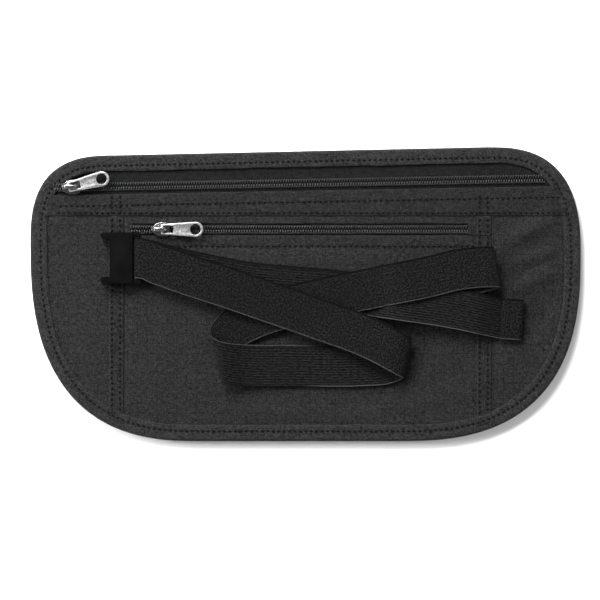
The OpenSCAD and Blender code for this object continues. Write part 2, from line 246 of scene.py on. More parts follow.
# Soft creases of the front cloth: middle x, middle y, direction in degrees, half length, half width, height
CREASES = [
    (118, -8, 60, 22, 4.5, -0.40), (108, -24, 40, 26, 5.0, 0.35),
    (-55, 36, 8, 22, 2.0, 0.25), (-22, 35.6, -4, 18, 1.8, 0.20), (12, 36.2, 3, 24, 1.8, 0.20),
    (52, 36, -3, 20, 1.8, 0.22), (-108, 10, 100, 34, 8.0, 0.30),
    (-118, -8, 112, 26, 6.0, -0.30), (-60, -48, 12, 40, 7.0, 0.30), (10, -55, -4, 60, 6.0, -0.28),
    (60, -52, 16, 34, 6.0, 0.30), (-20, 16, 3, 60, 5.0, 0.25), (70, -30, 40, 22, 6.0, 0.30),
    (-70, -20, 75, 26, 7.0, 0.25), (30, 22, -2, 50, 4.0, -0.25), (116, 48, 130, 16, 4.0, 0.40),
]

# Higher folds at the sides and low on the front, in the same form
FOLDS = [(110, 31, 25, 13, 4.4, 2.3), (114, 18.5, 18, 12, 3.2, 1.5), (112, 6.5, 25, 14, 4.0, 1.6),
         (-118, 38, 35, 12, 4.5, 0.8), (-112, -26, 120, 22, 6.0, 0.7), (-20, -60, 3, 46, 6.0, 0.7)]


def creases(x, y, lines):
    """Sum of soft ridges, each a Gaussian across its line and along it."""
    total = np.zeros(np.broadcast(x, y).shape)
    for cx, cy, angle, length, width, height in lines:
        c, s = math.cos(math.radians(angle)), math.sin(math.radians(angle))
        along, across = (x - cx) * c + (y - cy) * s, (y - cy) * c - (x - cx) * s
        total += height * np.exp(-(along / length) ** 2 - (across / width) ** 2)
    return total


def ripple(x, y):
    """Small uneven waves of cloth: products of sines with unrelated wavelengths."""
    return (0.10 * np.sin(x / 7.3 + 0.9 * np.sin(y / 11.0)) * np.sin(y / 9.1 + 0.4)
            + 0.06 * np.sin(x / 3.9 + y / 5.2) * np.sin(y / 4.3 - x / 8.7))


def front_z(x, y):
    """Top of the front cloth: level, with creases and ripples that die out towards the edge tape."""
    gap = np.minimum(y - rim_y(x, BINDING_W, False), rim_y(x, BINDING_W, True) - y)
    sides = HALF_W - BINDING_W - np.abs(x)
    calm = smooth_step((np.minimum(gap, sides) + 1) / 9)
    low = np.clip(1.7 * creases(x, y, CREASES) + 1.3 * ripple(x, y), -0.6, 0.85)
    return FRONT_Z - 0.12 + calm * (low + creases(x, y, FOLDS))


def spread(*stops):
    """Grid lines that run through the stops: pairs of a position and the spacing up to the next one."""
    lines = []
    for (a, step), (b, _) in zip(stops[:-1], stops[1:]):
        count = max(int(math.ceil((b - a) / step)), 1)
        lines.append(a + (b - a) * np.arange(count) / count)
    return np.concatenate(lines + [[stops[-1][0]]])


def between(x, low, high, lines):
    """Grid of x columns, each running from its own low to its own high."""
    low, high = (np.broadcast_to(end, x.shape)[:, None] for end in (low, high))
    return np.broadcast_arrays(x[:, None], low + (high - low) * np.linspace(0, 1, lines))


# ---------------------------------------------------------------- pouch cloth

UNDER = 3.0  # how far a panel runs in under the edge tape
BAND_TUCK = 5.5  # how far in from the outline the band's ends stop
TAPE_TUCK = 4.5  # how far in from the outline the zip tapes stop


def side_columns(x0, x1):
    """Columns of a side panel, close together where the outline turns steeply."""
    t = np.linspace(0, math.pi / 2, 60)
    return x0 + (x1 - x0) * (1 - np.cos(t)) if x0 < 0 else x0 + (x1 - x0) * np.sin(t)


def centre_columns():
    """Columns between the side seams, close together where the right seam steps up and rolls down."""
    start = SEAM_RIGHT - SEAM_W
    return np.concatenate([np.arange(SEAM_LEFT + 0.1, start - 0.6, 2.0),
                           spread((start - 0.2, 0.12), (start + 0.6, 1.1), (SEAM_RIGHT - 0.8, 0.08),
                                  (SEAM_RIGHT, 0.08))])


def lap_lift(x, edge):
    """Height of the lapped seam that ends at the edge: up over 0.5 mm where it starts, then rolled down."""
    rise = smooth_step((x - edge + SEAM_W) / 0.5)
    roll = np.sqrt(np.clip(1 - np.clip((x - edge + 0.7) / 0.7, 0, 1) ** 2, 0, 1))
    return (rise * (0.25 + 0.75 * roll))[:, None] * LAP * LAP_SHARE


def under_band(y):
    """0 below the band and 1 under it."""
    return smooth_step((y - BAND_LOW_Y + 1) / 1.5)


def rolled_edge(past):
    """Height of a folded edge: a swell, then a rolled drop, as past runs from 0 to 1."""
    fold = np.clip(past, 0, 1)
    return 0.12 * np.sin(math.pi * fold) - 0.25 * (1 - np.sqrt(np.clip(1 - fold ** 4, 0, 1)))


def panel_rows(x, low, high, lines, lift=0.0):
    """A panel's grid: columns of x from low to high on the front cloth, raised by the lift."""
    gx, gy = between(x, low, high, lines)
    return joined(gx, gy, front_z(gx, gy) + lift)


def side_grid(x, lift=0.0):
    """Grid of a side panel, from the edge tape below up to the band, or to the tape where that is lower."""
    low = rim_y(x, UNDER, False)
    high = np.minimum(rim_y(x, UNDER, True), top_zip_y(x) - BAND_OFF - 3)
    return panel_rows(x, low, np.maximum(high, low + 0.5), 100, lift)


def make_left_panel():
    """Left side panel: front cloth and its lap over the centre panel."""
    lap = SEAM_LEFT - SEAM_W
    x = np.concatenate([side_columns(UNDER - HALF_W + 0.4, lap - 0.4), spread((lap, 0.12), (lap + 0.6, 1.0)),
                        spread((lap + 0.61, 1.1), (SEAM_LEFT - 0.8, 0.08), (SEAM_LEFT, 0.08))])
    grid = side_grid(x)
    grid[..., 2] += lap_lift(x, SEAM_LEFT) * (1 - under_band(grid[..., 1]))
    return sheet_object("left_panel_cloth", grid)


def make_centre_panel():
    """Centre panel: cloth below the front zip with a folded edge, its lap, and an ear beside each zip end."""
    parts = Parts()
    x = centre_columns()
    edge = FRONT_ZIP_Y - SLIT + 0.12 * np.sin(x / 9.0) + 0.08 * np.sin(x / 3.7)
    grid = panel_rows(x, rim_y(x, UNDER, False), edge, 90, lap_lift(x, SEAM_RIGHT))
    grid[..., 2] += rolled_edge(grid[..., 1] - edge[:, None] + 1.0)
    parts.add_sheet(grid, CLOTH)
    reach = SLIT + 0.4
    for start, end in ((x[0], FRONT_ZIP_X0), (FRONT_ZIP_X1, SEAM_RIGHT)):
        keep = np.unique(np.concatenate([x[(x > start) & (x < end)], [start, end]]))
        ear = panel_rows(keep, FRONT_ZIP_Y - reach, FRONT_ZIP_Y + reach, 10, lap_lift(keep, SEAM_RIGHT))
        parts.add_sheet(ear, CLOTH)
    return parts.make("centre_panel_cloth")


def make_right_panel():
    """Right side panel: front cloth from under the centre panel's lap to the edge tape."""
    x = side_columns(SEAM_RIGHT - SEAM_W + 1.5, HALF_W - UNDER - 0.4)
    under_lap = -0.3 * (1 - smooth_step((x - SEAM_RIGHT + 0.4) / 0.6))[:, None]
    return sheet_object("right_panel_cloth", side_grid(x, under_lap))


def make_strip():
    """Strip of cloth above the front zip, folded along its lower edge and caught under the band."""
    x = centre_columns()
    lift = lap_lift(x, SEAM_RIGHT)
    edge = FRONT_ZIP_Y + SLIT + 0.12 * np.sin(x / 8.0 + 1) + 0.06 * np.sin(x / 3.1)
    grid = panel_rows(x, edge, top_zip_y(x) - BAND_OFF - 3, 34, lift)
    grid[..., 2] += rolled_edge(edge[:, None] + 1.0 - grid[..., 1]) - lift * under_band(grid[..., 1])
    return sheet_object("zip_strip_cloth", grid)


def band_z(x, y):
    """Top of the folded band: the front cloth plus the lap, rolled down at both of its folded edges."""
    roll = 1.0
    for past in (y - top_zip_y(x) + BAND_OFF + 0.8, BAND_LOW_Y + 0.8 - y):
        roll = roll * np.sqrt(np.clip(1 - np.clip(past / 0.8, 0, 1) ** 2, 0, 1))
    puff = 0.10 * np.sin(x / 13.0 + 0.6 * np.sin(y / 3.0)) + 0.06 * np.sin(x / 4.7 + y / 2.1)
    return front_z(x, y) + LAP * (0.2 + 0.72 * roll) + puff * roll


def make_band():
    """Folded band under the top zip, its ends tucked in under the edge tape."""
    x = np.linspace(7.0 - HALF_W, HALF_W - 7.0, 190)
    x = x[rim_y(x, BAND_TUCK, True) > BAND_LOW_Y + 1]
    top = np.minimum(top_zip_y(x) - BAND_OFF, rim_y(x, BAND_TUCK, True))
    low = BAND_LOW_Y + 0.10 * np.sin(x / 6.1) + 0.07 * np.sin(x / 2.9)
    t = np.concatenate([[0, 0.01, 0.025, 0.05], np.linspace(0.1, 0.9, 14), [0.95, 0.975, 0.99, 1]])
    gx, gy = np.broadcast_arrays(x[:, None], low[:, None] + (top - low)[:, None] * t)
    return sheet_object("zip_band_cloth", joined(gx, gy, band_z(gx, gy)), 0.5)


def make_flat_cloth(name, inset, z, sag, x0=None, x1=None, top=np.inf):
    """A whole flat panel inside the outline: level, with long low waves of cloth."""
    x0 = inset - HALF_W + 0.4 if x0 is None else x0
    x1 = HALF_W - inset - 0.4 if x1 is None else x1
    x = x0 + (x1 - x0) * (1 - np.cos(np.linspace(0, math.pi, 120))) / 2
    gx, gy = between(x, rim_y(x, inset, False), np.minimum(rim_y(x, inset, True), top), 80)
    wave = np.sin(gx / 31.0 + 0.7 * np.sin(gy / 23.0)) * np.sin(gy / 27.0 + 1.1)
    return sheet_object(name, joined(gx, gy, z + CLOTH + sag * wave))


# ---------------------------------------------------------------- edge tape

RIM_TOP, RIM_BASE = RIM_HIGH[2], RIM_LOW[2]
TAPE_END_Y = 30.0  # where the tape's two ends overlap, on the left side
TAPE_STEP = 1.6  # spacing of the stations along the tape


def edge_profile():
    """Section of the tape folded over the edge: x runs outwards from the tape's inner edge, y upwards.

    It is a flat upper leg, a half round nose and a flat lower leg, each offset by the tape's own thickness.
    """
    thick, sink = 0.75, 0.12
    nose, mid = (RIM_TOP - RIM_BASE) / 2, (RIM_TOP + RIM_BASE) / 2
    reach = nose * 0.55
    start = BINDING_W - reach
    angle = np.linspace(math.pi / 2, -math.pi / 2, 13)
    c, s = np.cos(angle), np.sin(angle)
    leg_z = np.array([-0.42, -0.1, 0, 0, -0.14, 0, 0]) - sink
    leg = joined([0, 0.15, 0.5, 2.4, 3.2, 4.2, start - 1.2], leg_z)
    nose_out = joined(start + reach * c, mid + (nose - sink) * s)
    nose_in = joined(start - 0.3 + (reach - 0.5) * c, mid + (nose - sink - thick) * s)
    return np.concatenate([leg + [0, RIM_TOP], nose_out, (leg * [1, -1] + [0, RIM_BASE])[::-1],
                           [[0.3, RIM_BASE + sink + thick]], nose_in[::-1], [[0.3, RIM_TOP - sink - thick]]])


def edge_frames(inset, spacing):
    """Even stations along the outline, moved inwards by the inset, and the outward normals."""
    path = even_path(outline(0, 160), spacing, closed=True)
    ahead = unit(np.roll(path, -1, axis=0) - np.roll(path, 1, axis=0))
    out = joined(ahead[:, 1], -ahead[:, 0])
    return path - out * inset, out


def make_edge_tape():
    """Edge tape: the folded section carried round the outline, a little wavy, with one overlapped end."""
    path, out = edge_frames(BINDING_W, TAPE_STEP)
    walk = np.arange(len(path)) * TAPE_STEP
    profile = edge_profile()
    wave = 0.10 * np.sin(walk / 6.3) + 0.08 * np.sin(walk / 2.7 + 2) + 0.07 * np.sin(walk / 17.0)
    y = path[:, 1]
    left = (path[:, 0] < 0) & (y > TAPE_END_Y - 40) & (y < TAPE_END_Y)
    step = np.where(left, smooth_step((y - TAPE_END_Y + 34) / 8), 0) * smooth_step((TAPE_END_Y - y) / 0.9)
    px, py = profile[None, :, 0], profile[None, :, 1]
    top_side = smooth_step((py - RIM_BASE - 1.2) / 2.4)
    inner = np.clip(1 - px / 3.0, 0, 1)
    reach = px - wave[:, None] * inner - 0.5 * step[:, None] * inner
    height = py + (0.06 * np.sin(walk / 4.1)[:, None] * inner - 0.12 * (1 - step)[:, None]) * top_side
    flat = path[:, None, :] + out[:, None, :] * reach[..., None]
    points = np.concatenate([flat, height[..., None]], axis=-1)
    faces = grid_faces(len(path), len(profile), close_rows=True, close_cols=True)[:, ::-1]
    return make_object("edge_tape", points, faces, joined(walk[:, None], walked(profile)[None, :]) * MM)


# ---------------------------------------------------------------- stitches

def stitch_row(name, paths, pitch=2.7, thread=0.98, share=0.60):
    """Rows of lockstitch: along each path a short rounded bar every pitch, its middle up and its ends sunk.

    Each bar is a small tube: a circle of 6 points carried over 6 stations on a low arch.
    """
    t = np.linspace(-1, 1, 6)
    arch = (0.22 * (1 - t ** 2) - 0.16 * t ** 4)[None, :, None]
    thick = np.array([0.45, 0.85, 1.0, 1.0, 0.85, 0.45]) * thread / 2
    ring = np.linspace(0, 2 * math.pi, 6, endpoint=False)[None, None, :, None]
    ends = [list(range(5, -1, -1)), list(range(30, 36))]
    faces = grid_faces(6, 6, close_cols=True)[:, ::-1].tolist() + ends
    rng = np.random.default_rng(11)
    parts = Parts()
    for path in paths:
        spots = even_path(path, pitch)
        ahead = unit(spots[1:] - spots[:-1])
        side = unit(np.cross(UP, ahead))
        lean = unit(ahead + side * rng.uniform(-0.16, 0.16, (len(ahead), 1)))
        mid = (spots[1:] + spots[:-1]) / 2 + side * rng.uniform(-0.10, 0.10, (len(ahead), 1))
        centre = mid[:, None, :] + lean[:, None, :] * (t * pitch * share / 2)[None, :, None] + UP * arch
        radial = side[:, None, None, :] * np.cos(ring) + UP * np.sin(ring)
        for bar in centre[:, :, None, :] + radial * thick[None, :, None, None]:
            parts.add(bar, faces)
    return parts.make(name)


def on_front(x, y, rise=0.05):
    """Points on the front cloth."""
    return joined(x, y, front_z(x, y) + rise)


def on_band(x, y):
    """Points on the folded band."""
    return joined(x, y, band_z(x, y) + 0.03)


def make_edge_stitching():
    """One row of lockstitch on the edge tape, set back from its outer edge."""
    path, _ = edge_frames(5.1, 1.0)
    row = joined(path[:, 0], path[:, 1], RIM_TOP - 0.30)
    return stitch_row("edge_stitching", [np.vstack([row, row[:1]])], 2.65, 1.05)


def make_band_stitching():
    """Two rows along the folded band: a level one near its lower edge, and one that follows the top zip."""
    rows = []
    for rise, slope, x0, x1 in ((1.6, 0.0, -122.5, 125.5), (7.0, ZIP_SLOPE, -121.5, 125.0)):
        x = np.linspace(x0, x1, 160)
        rows.append(on_band(x, BAND_LOW_Y + rise + slope * (x - ZIP_MID[0])))
    return stitch_row("band_stitching", rows)


def make_seam_stitching():
    """Two rows down each lapped side seam, carried on over the band."""
    rows = []
    for x in (SEAM_LEFT - 2.0, SEAM_LEFT - 6.0, SEAM_RIGHT - 2.0, SEAM_RIGHT - 6.0):
        y = np.linspace(BAND_LOW_Y - 0.6, rim_y(x, BINDING_W + 0.3, False), 60)
        rows.append(on_front(x, y, 0.05 + LAP * LAP_SHARE))
        rows.append(on_band(x, np.linspace(BAND_LOW_Y + 0.8, BAND_LOW_Y + 10.5, 12)))
    return stitch_row("seam_stitching", rows)


def make_zip_stitching():
    """The row below the front zip that holds its lower tape."""
    x = np.linspace(SEAM_LEFT + 1.2, SEAM_RIGHT - SEAM_W - 0.8, 120)
    return stitch_row("zip_stitching", [on_front(x, FRONT_ZIP_Y - SLIT - 5.4)])


# ---------------------------------------------------------------- zips

# Pitch of the coils in mm: a whole number of turns fits the travel of each slider
TOP_COIL_PITCH, FRONT_COIL_PITCH = 1.25, 143 / 114


def zip_point(x, y, tilt):
    """Points of a zip's own frame placed on the pouch: only the top zip is turned, by its slope."""
    if tilt:
        c, s = ZIP_AXIS[:2]
        return x * c - y * s, top_zip_y(0.0) + x * s + y * c
    return x, FRONT_ZIP_Y + y


def make_zip_tape(name, side, tilt, x0, x1):
    """One zip tape: flat, with a raised cord along its inner edge where the coil is sewn down."""
    lines = np.array([0.04, 0.2, 0.5, 1.2, 1.9, 2.4, 2.9, 3.6, 5.0, 7.0, 8.5, 10.0])[::side]
    rise = np.array([-0.05, 0.0, 0.02, 0.05, 0.06, 0.10, 0.05, 0.0, 0.0, 0.0, -0.02, -0.05])[::side]
    gx, gy = np.broadcast_arrays(np.linspace(x0, x1, 180)[:, None], side * lines)
    px, py = zip_point(gx, gy, tilt)
    z = TAPE_Z - 0.02 + rise + 0.03 * np.sin(gx / 5.0)
    top = joined(px, np.minimum(py, rim_y(px, TAPE_TUCK, True)), z)
    return sheet_object(name, top, 0.4, joined(gx, gy) * MM)


def make_coil(name, side, tilt, x0, x1):
    """One row of coil: a flattened helix of one filament, its heads reaching over the middle of the zip.

    Over one turn the point goes round an oval of the row's width and height; it moves one pitch along,
    t - 1.2 sin(2 pi t) / (2 pi), mostly at the outer end, so the lower strand lies under the upper one.
    """
    steps = 14
    pitch = TOP_COIL_PITCH if tilt else FRONT_COIL_PITCH
    t = np.arange(int((x1 - x0) / pitch) * steps + 1) / steps
    c, s = np.cos(2 * math.pi * t), np.sin(2 * math.pi * t)
    shift = 0.0 if side > 0 else 0.5
    across = 1.13 - 0.98 * c * np.where(c > 0, 1.0, 0.9)
    px, py = zip_point(x0 + (t + shift - 1.2 * s / (2 * math.pi)) * pitch, side * across, tilt)
    centre = joined(px, py, TAPE_Z + 0.78 + 0.46 * s)
    ahead = unit(np.gradient(centre, axis=0))
    outward = unit(np.cross(ahead, [ZIP_AXIS[0], ZIP_AXIS[1], 0.0]))
    ring = np.linspace(0, 2 * math.pi, 6, endpoint=False)
    profile = joined(0.25 * np.sin(ring), 0.27 * np.cos(ring))
    return make_object(name, *swept(centre, outward, np.cross(ahead, outward), profile))


def make_zip_cord(name, tilt, x0, x1):
    """Sewing over a coil: two fine rows of chain stitch that pinch each row of coil to its tape."""
    rows = []
    for y in (-1.30, 1.30):
        px, py = zip_point(np.linspace(x0, x1, 40), y, tilt)
        rows.append(joined(px, py, TAPE_Z + 1.36))
    return stitch_row(name, rows, 1.25, 0.24, 0.8)


# ---------------------------------------------------------------- hard pieces from the CAD nodes

def refined(node, width, segments=3):
    """A merged copy of a CAD node with its sharp edges rounded over by the given width."""
    piece = bpy.data.objects.new(node + "_finished", frame["nodes"][node].data.copy())
    bpy.context.collection.objects.link(piece)
    bpy.context.view_layer.objects.active = piece
    piece.data.materials.clear()
    weld = piece.modifiers.new("weld", "WELD")
    weld.merge_threshold = 0.00001
    flat = piece.modifiers.new("flat", "DECIMATE")
    flat.decimate_type = "DISSOLVE"
    flat.angle_limit = math.radians(1.0)
    round_over = piece.modifiers.new("round_over", "BEVEL")
    round_over.width = width * MM
    round_over.segments = segments
    round_over.limit_method = "ANGLE"
    round_over.angle_limit = math.radians(35)
    made = bpy.data.meshes.new_from_object(piece.evaluated_get(bpy.context.evaluated_depsgraph_get()))
    piece.modifiers.clear()
    piece.data = made
    made.polygons.foreach_set("use_smooth", np.ones(len(made.polygons), bool))
    made.set_sharp_from_angle(angle=math.radians(40))
    return piece


# ---------------------------------------------------------------- elastic strap

REST_Z = 7.5
OVER_Z = REST_Z + STRAP_T + 0.4
PLUG_LOW, PLUG_HIGH = box_mm("buckle_plug")
PLUG_AT = np.array([76.0, 8.6, (PLUG_LOW[2] + PLUG_HIGH[2]) / 2])
PLUG_TOP = PLUG_AT[2] + 2.5 + STRAP_T / 2 + 0.2
PLUG_YAW = 12.0
TURN_R = 1.9


def turn_round(centre, yaw, r, start, end, steps=10):
    """Rings round a bar: the strap's middle line on a circle in the upright plane of its run."""
    x, y, z = centre
    c, s = math.cos(math.radians(yaw)), math.sin(math.radians(yaw))
    return [[x + r * math.cos(k) * c, y + r * math.cos(k) * s, z + r * math.sin(k), yaw]
            for k in np.radians(np.linspace(start, end, steps))]


def raised(base, rings):
    """Rings whose heights are counted from the base."""
    return [[x, y, base + rise, turn] for x, y, rise, turn in rings]


# Rings of the strap: x, y, height, and the turn of its level cross line away from +Y
STRAP_ROUTE = (
    raised(REST_Z, [[96, -12, 1.4, -4], [101, -12.3, 1.4, -4]])
    + turn_round([105.2, -12.6, REST_Z + 0.7], -4, 0.7, 90, -90, 7)
    + raised(REST_Z, [[101, -12.3, 0, -4], [96, -11.8, 0, -6], [90, -10.6, 2, -9]])
    + raised(PLUG_TOP, [[84, -9.3, -0.2, -10], [80, -8.4, 0, -10], [60, -4.8, 0, -8], [47, -3, 0, -7],
                [42, -2.2, -1, -6]])
    + raised(REST_Z, [[36, -1.4, 0.6, -5], [31, -0.4, 0, -4], [12, 2.1, 0, -4], [-3, 3.4, 0, -6],
                [-27, 5.7, 0, -9], [-52, 10.4, 0, -13], [-68, 14, 0, -12], [-76, 16.4, 0, -6]])
    + raised(SOCKET_AT[2], [[-80, 17.4, -TURN_R, -1]])
    + turn_round(SOCKET_AT, 0, TURN_R, 270, 90)
    + raised(SOCKET_AT[2], [[-80, 17.4, TURN_R, -1]])
    + raised(REST_Z, [[-76, 16, 4, -8], [-67, 12.8, 4.1, -16], [-57, 9.3, 4.1, -19], [-43, 4.8, 4, -19],
                [-30, 0.4, 3.7, -19], [-8, -7.2, 3.5, -19], [12, -14.2, 3.7, -19], [24, -18.4, 4.4, -20],
                [35, -23.2, 5.5, -20], [42, -27, 6.4, -17], [46.5, -29.6, 6.1, -14], [49.3, -31.2, 4.3, -13],
                [49.5, -31.8, 2.1, -13], [46.5, -33, 0.4, -11], [41, -34.2, -0.1, -6], [30, -35, -0.2, 0],
                [-12, -35, -0.2, 0], [-23, -35, 0.1, 0], [-31, -34.6, 1.5, 2], [-37, -33.9, 3.9, 5],
                [-41.2, -32.6, 4.8, 8], [-43.9, -30.2, 3.4, 12], [-43.8, -26.6, 1.2, 17], [-41, -22.6, 0.1, 22],
                [-36, -17.4, -0.1, 25], [-28, -13, 0.2, 24]])
    + raised(OVER_Z, [[-20, -9.8, -0.3, 21], [-12, -7.2, 0, 17], [7, -2.4, 0, 13], [22, 0.8, 0, 11],
                [32, 2.8, 0.4, 11], [38, 4.1, 1.6, 11]])
    + raised(PLUG_TOP, [[44, 5.2, 1.4, 11], [60, 8.4, 1.5, 10], [75, 12, 1.5, 7], [85, 13.1, 1.4, 4],
                [91, 13.3, 1.1, 4], [93.2, 13.1, 0.1, 8], [90.6, 12.2, -1, 12], [84, 10.4, -0.9, PLUG_YAW]])
    + turn_round(PLUG_AT, PLUG_YAW, TURN_R, 90, 270)
    + raised(PLUG_AT[2], [[80, 9.4, -TURN_R, PLUG_YAW]])
)


def smooth_route(route, spacing):
    """A centripetal cardinal spline through the route's rings, walked at even spacing.

    Each span is the cubic Hermite curve whose end slopes are central differences over the chord lengths.
    """
    p = np.asarray(route, float)
    chord = np.linalg.norm(np.diff(p[:, :3], axis=0), axis=1)
    s = walked(p[:, :3])
    before, after = np.maximum(chord[:-1], 1e-6)[:, None], np.maximum(chord[1:], 1e-6)[:, None]
    slope_in, slope_out = (p[1:-1] - p[:-2]) / before, (p[2:] - p[1:-1]) / after
    middle = (slope_in * after + slope_out * before) / (before + after)
    slope = np.concatenate([[(p[1] - p[0]) / chord[0]], middle, [(p[-1] - p[-2]) / chord[-1]]])
    fine = np.linspace(0, s[-1], int(s[-1] / 0.2))
    k = np.clip(np.searchsorted(s, fine, side="right") - 1, 0, len(s) - 2)
    h = (s[k + 1] - s[k])[:, None]
    u = ((fine - s[k])[:, None]) / h
    h00, h10 = 2 * u ** 3 - 3 * u ** 2 + 1, u ** 3 - 2 * u ** 2 + u
    h01, h11 = -2 * u ** 3 + 3 * u ** 2, u ** 3 - u ** 2
    curve = h00 * p[k] + h10 * h * slope[k] + h01 * p[k + 1] + h11 * h * slope[k + 1]
    length = walked(curve[:, :3])
    at = np.linspace(0, length[-1], int(length[-1] / spacing))
    return sampled(at, length, curve), at


STRAP_RINGS, STRAP_WALK = smooth_route(STRAP_ROUTE, 1.0)


def strap_profile():
    """Section of the strap, clockwise from its left end: smooth upper face, woven edge, ribbed under face.

    The ribs are a sine along the width, and each woven edge is a half round thinner than the strap. A narrow
    groove, a Gaussian across the width, sets off the upper face's far woven edge.
    """
    half, thick = STRAP_W / 2, STRAP_T / 2
    w = np.linspace(-1, 1, 61)
    edge = 1 - 0.30 * np.exp(-((1 - np.abs(w)) * half / 0.55) ** 2)
    groove = 0.55 * np.exp(-((w * half - 9.2) / 0.36) ** 2)
    face = thick * edge * (0.93 + 0.03 * np.cos(w * half * 2 * math.pi / 1.7)) - groove
    smooth_face = joined(w * half, face)
    ribs = 0.86 + 0.09 * np.cos(w * half * 2 * math.pi / 1.25)
    ribbed_face = joined(w * half, -thick * edge * ribs)[::-1]
    return np.concatenate([smooth_face, ribbed_face])


def loop_span():
    """Where the left loop starts and ends along the strap, in metres: the walk between its two flat runs."""
    inside = STRAP_WALK[(STRAP_RINGS[:, 0] < 10) & (STRAP_RINGS[:, 1] < -16)]
    return inside.min() * MM, inside.max() * MM


LOOP_SPAN = loop_span()


def make_strap():
    """The strap: its section carried along its route."""
    path, turn = STRAP_RINGS[:, :3], np.radians(STRAP_RINGS[:, 3])
    across = joined(-np.sin(turn), np.cos(turn), 0 * turn)
    up = unit(np.cross(unit(np.gradient(path, axis=0)), across))
    profile = strap_profile()
    v = profile[:, 0] + np.where(np.arange(len(profile)) < len(profile) // 2, 0.0, 100.0)
    points, faces = swept(path, across, up, profile)
    return make_object("elastic_webbing", points, faces, joined(STRAP_WALK[:, None], v) * MM)


def make_hem_stitching():
    """Zigzag of thread that holds the strap's folded tail: one bar for each swing from side to side."""
    y = np.linspace(-21.2, -2.8, 23)
    x = 98.0 + 1.1 * np.where(np.arange(23) % 2 == 0, -1, 1) + 0.07 * (y + 12)
    points = joined(x, y, REST_Z + 1.4 + STRAP_T / 2 + 0.02)
    swings = [np.array([a, (a + b) / 2, b]) for a, b in zip(points[:-1], points[1:])]
    return stitch_row("hem_stitching", swings, 1.0, 0.36, 1.0)


# ---------------------------------------------------------------- belt loops on the back

def make_belt_loop(name, node):
    """A belt loop: a flat band along Y under the back panel, its two ends folded up and sewn to it."""
    low, high = box_mm(node)
    thick, bend = 0.8, 2.6
    drop = high[2] - thick - 0.05
    y0, y1 = low[1] + 6.0, high[1] - 6.0
    y = np.concatenate([[low[1] + 0.1, y0 - 3.0], np.linspace(y0, y0 + bend, 7),
                        np.linspace(y0 + 4, y1 - 4, 22), np.linspace(y1 - bend, y1, 7),
                        [y1 + 3.0, high[1] - 0.1]])
    z = thick / 2 + drop * (1 - smooth_step(np.minimum(y - y0, y1 - y) / bend)) + 0.03 * np.sin(y / 2.2)
    centre = joined((low[0] + high[0]) / 2, y, z)
    ahead = unit(np.gradient(centre, axis=0))
    across = np.broadcast_to([-1.0, 0, 0], ahead.shape)
    w = np.linspace(-1, 1, 25)
    edge = np.sqrt(np.clip(1 - np.abs(w) ** 24, 0, 1))
    face = joined(w * ((high[0] - low[0]) / 2 - 0.1), thick / 2 * edge * 0.9)
    profile = np.concatenate([face, (face * [1, -1])[::-1][1:-1]])
    points, faces = swept(centre, across, unit(np.cross(ahead, across)), profile)
    return make_object(name, points, faces, points[..., :2] * MM)


def make_loop_stitching():
    """Boxes of lockstitch that hold the ends of both belt loops, on the side away from the pouch."""
    rows = []
    for node in ("belt_loop_left", "belt_loop_right"):
        low, high = box_mm(node)
        x0, x1, z = low[0] + 1.6, high[0] - 1.6, high[2] - 0.95
        for y in (low[1] + 1.3, low[1] + 4.6, high[1] - 4.6, high[1] - 1.3):
            rows.append(np.array([[x0, y, z], [(x0 + x1) / 2, y, z], [x1, y, z]]))
        for x in (x0, x1):
            for y in (low[1] + 1.3, high[1] - 4.6):
                rows.append(np.array([[x, y, z], [x, y + 1.6, z], [x, y + 3.3, z]]))
    return stitch_row("loop_stitching", rows, 2.2, 0.40)


# ---------------------------------------------------------------- materials

class Nodes:
    """Short calls for building a node tree."""

    def __init__(self, tree):
        self.tree = tree

    def add(self, kind, **settings):
        node = self.tree.nodes.new(kind)
        for key, value in settings.items():
            setattr(node, key, value)
        return node

    def put(self, node, socket, value):
        target = node.inputs[socket]
        if isinstance(value, bpy.types.NodeSocket):
            self.tree.links.new(value, target)
        else:
            target.default_value = value

    def math(self, operation, a, b=0.0, c=0.0):
        node = self.add("ShaderNodeMath", operation=operation)
        for k, value in enumerate((a, b, c)):
            self.put(node, k, value)
        return node.outputs[0]

    def mul(self, a, b):
        return self.math("MULTIPLY", a, b)

    def plus(self, a, b):
        return self.math("ADD", a, b)

    def minus(self, a, b):
        return self.math("SUBTRACT", a, b)

    def mad(self, a, b, c):
        return self.math("MULTIPLY_ADD", a, b, c)

    def ramp(self, value, low, high, to_low=0.0, to_high=1.0):
        node = self.add("ShaderNodeMapRange", clamp=True)
        for k, number in enumerate((value, low, high, to_low, to_high)):
            self.put(node, k, number)
        return node.outputs[0]

    def split(self, vector):
        node = self.add("ShaderNodeSeparateXYZ")
        self.put(node, 0, vector)
        return node.outputs

    def noise(self, vector, scale, detail=3.0, rough=0.55):
        node = self.add("ShaderNodeTexNoise", noise_dimensions="3D")
        for title, value in (("Vector", vector), ("Scale", scale), ("Detail", detail), ("Roughness", rough)):
            self.put(node, title, value)
        return node.outputs["Fac"]

    def tint(self, colour, value):
        """A colour made lighter or darker by a value."""
        node = self.add("ShaderNodeVectorMath", operation="SCALE")
        self.put(node, 0, colour)
        self.put(node, "Scale", value)
        return node.outputs[0]

    def stretch(self, vector, factors):
        """A vector with each of its axes scaled by its own factor."""
        node = self.add("ShaderNodeVectorMath", operation="MULTIPLY")
        self.put(node, 0, vector)
        self.put(node, 1, factors)
        return node.outputs[0]

    def bump(self, height, distance):
        node = self.add("ShaderNodeBump")
        self.put(node, "Height", height)
        self.put(node, "Distance", distance)
        self.put(node, "Strength", 1.0)
        return node.outputs[0]


